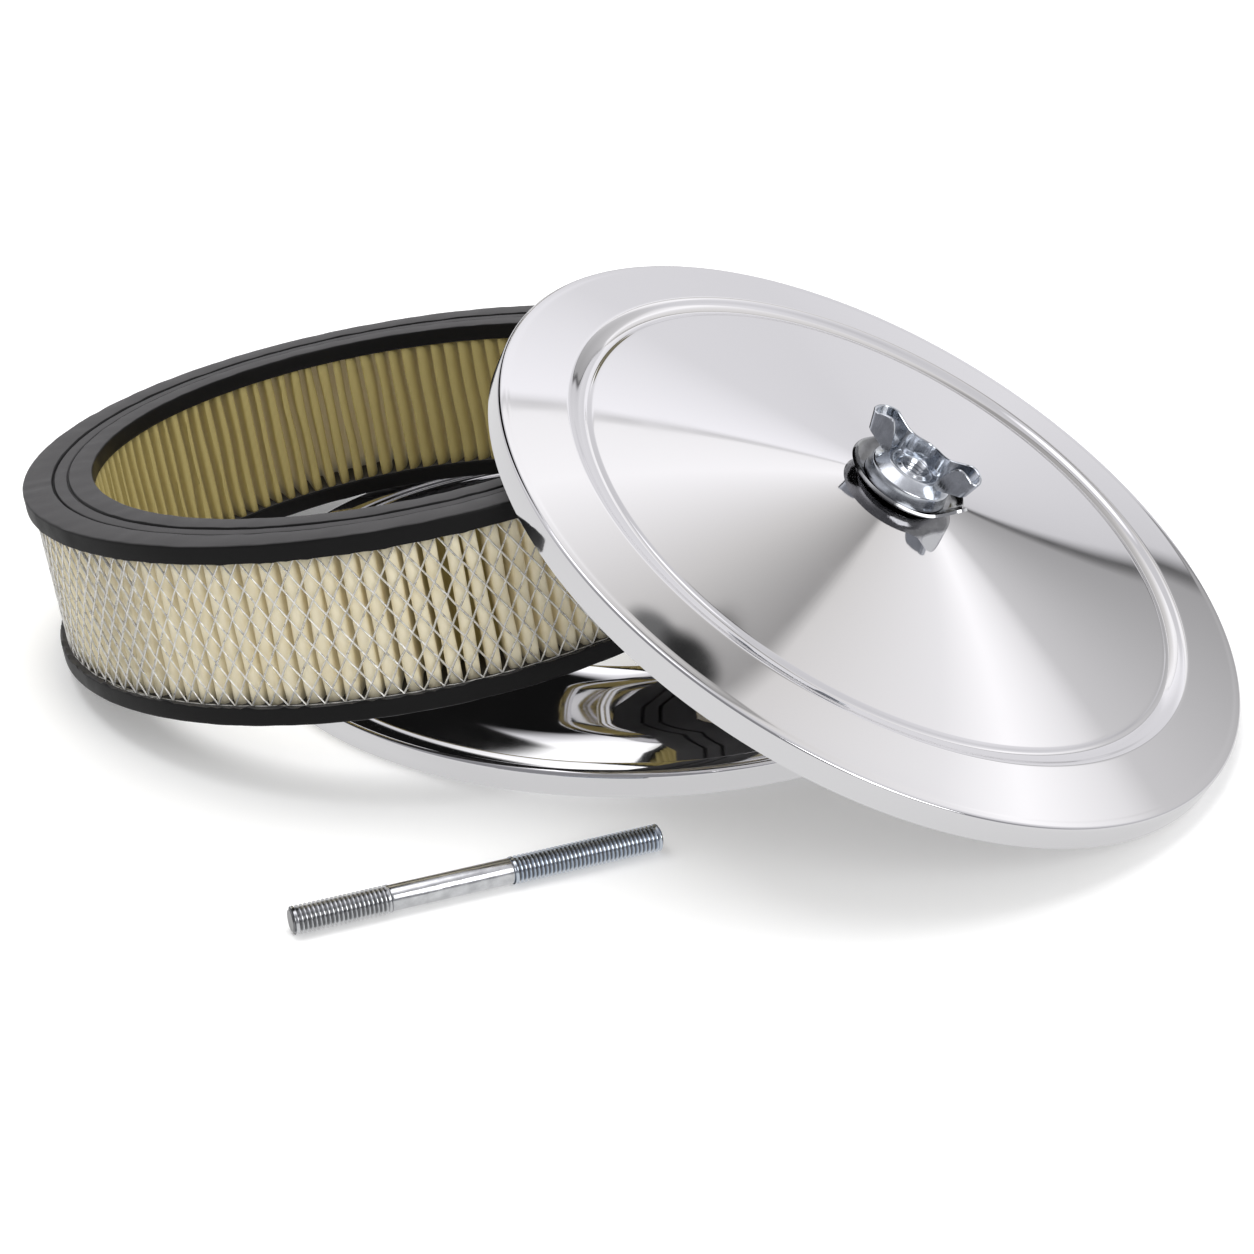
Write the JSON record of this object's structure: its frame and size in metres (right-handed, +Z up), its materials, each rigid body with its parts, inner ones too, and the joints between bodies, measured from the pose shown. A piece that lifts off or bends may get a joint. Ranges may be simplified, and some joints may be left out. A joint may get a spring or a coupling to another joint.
{
  "type": "carburetor air cleaner",
  "caption": "Round air cleaner taken apart: pressed pan, leaning pleated filter ring in a diamond screen, leaning lid with a cup washer and a stamped wing nut, and a loose stud.",
  "frame": {"origin": "centre of the whole layout's footprint, on the bench that the pieces lie on", "axes": "+Z up; +X to the right and +Y away, seen as the pieces lie"},
  "size_m": [0.39, 0.3298, 0.1201],
  "materials": {
    "bright_chrome": "mirror-bright plated pressing",
    "black_seal_rubber": "matt moulded face, smooth side",
    "cream_filter_paper": "matt resin-treated paper",
    "bright_screen_steel": "bright expanded sheet",
    "zinc_plated_steel": "bright zinc plate"
  },
  "bodies": {
    "air_cleaner": {"base_pan": "bright_chrome", "lid": "bright_chrome", "bottom_seal": "black_seal_rubber", "top_seal": "black_seal_rubber", "pleated_paper": "cream_filter_paper", "outer_screen": "bright_screen_steel", "cup_washer": "zinc_plated_steel", "centre_stud": "zinc_plated_steel"},
    "wing_nut_body": {"wing_nut": "zinc_plated_steel"}
  },
  "joints": [
    {"name": "wing_nut_turn", "type": "hinge", "parent": "air_cleaner", "child": "wing_nut_body", "pos_m": [0.08601, -0.03326, 0.07806], "axis": [0.4055, -0.1899, 0.8942], "continuous": true}
  ]
}
